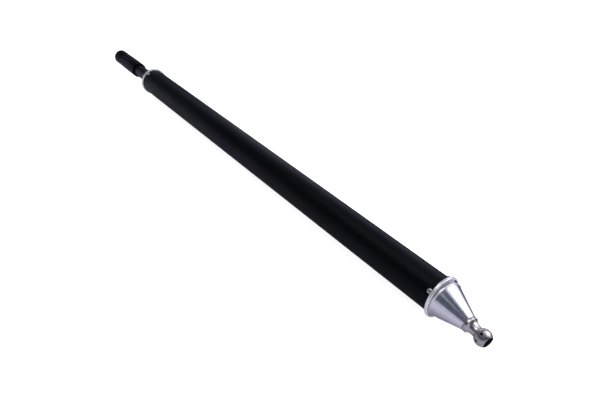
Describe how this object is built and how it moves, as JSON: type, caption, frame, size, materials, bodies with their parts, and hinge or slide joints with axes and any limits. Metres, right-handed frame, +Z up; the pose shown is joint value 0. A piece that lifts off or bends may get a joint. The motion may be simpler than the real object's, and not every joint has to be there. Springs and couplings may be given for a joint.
{
  "type": "hydraulic cylinder",
  "caption": "Long slim hydraulic cylinder: black tube, sliding and turning rod with a fluted coupling, and a self-aligning cone carrying a hollow, oil-fed ball stud.",
  "frame": {"origin": "middle of the barrel tube, on its axis, where a saddle holds the barrel up", "axes": "+X along the barrel's axis towards the rod end, +Z up, and the ball end lies over towards +Y and down"},
  "size_m": [1.2076, 0.065, 0.065],
  "materials": {
    "black_paint": "satin black paint",
    "turned_aluminium": "fine turned and polished",
    "polished_stud": "polished hardened steel",
    "bright_steel": "bright zinc steel",
    "black_rod": "satin black nitrided steel",
    "black_coupling": "satin black oxide",
    "piston_iron": "machined grey iron",
    "black_rubber": "matte black nitrile",
    "seal_plastic": "blue polyurethane",
    "bronze_ring": "bronze-filled bearing tape"
  },
  "bodies": {
    "barrel": {"barrel_tube": "black_paint", "base_cap": "turned_aluminium", "base_oring": "black_rubber", "seat_oring": "black_rubber", "centre_bolt": "bright_steel", "spherical_washer": "bright_steel", "base_screw_1": "bright_steel", "base_screw_2": "bright_steel", "base_screw_3": "bright_steel", "base_screw_4": "bright_steel", "gland_screw_1": "bright_steel", "gland_screw_2": "bright_steel", "gland_screw_3": "bright_steel", "gland_screw_4": "bright_steel", "rod_gland": "turned_aluminium", "gland_oring": "black_rubber", "rod_guide_bush": "bronze_ring", "rod_seal": "seal_plastic", "rod_wiper": "black_rubber"},
    "ball_end": {"end_cone": "turned_aluminium", "stud_washer": "bright_steel", "ball_stud": "polished_stud"},
    "piston_rings": {"piston_guide_ring_1": "bronze_ring", "piston_guide_ring_2": "bronze_ring", "piston_seal": "seal_plastic"},
    "rod": {"piston_rod": "black_rod", "piston": "piston_iron", "piston_oring": "black_rubber", "piston_nut": "bright_steel", "coupling_sleeve": "black_coupling", "coupling_ring": "black_coupling", "coupling_cap": "black_coupling"}
  },
  "joints": [
    {"name": "cone_tilt", "type": "hinge", "parent": "barrel", "child": "ball_end", "pos_m": [-0.46, 0, 0], "axis": [0, 0.6398, 0.7685], "range_deg": [0, 15]},
    {"name": "rod_slide", "type": "slide", "parent": "barrel", "child": "piston_rings", "axis": [1, 0, 0], "range_m": [0, 0.75]},
    {"name": "rod_turn", "type": "hinge", "parent": "piston_rings", "child": "rod", "pos_m": [0, 0, 0], "axis": [1, 0, 0], "continuous": true}
  ]
}
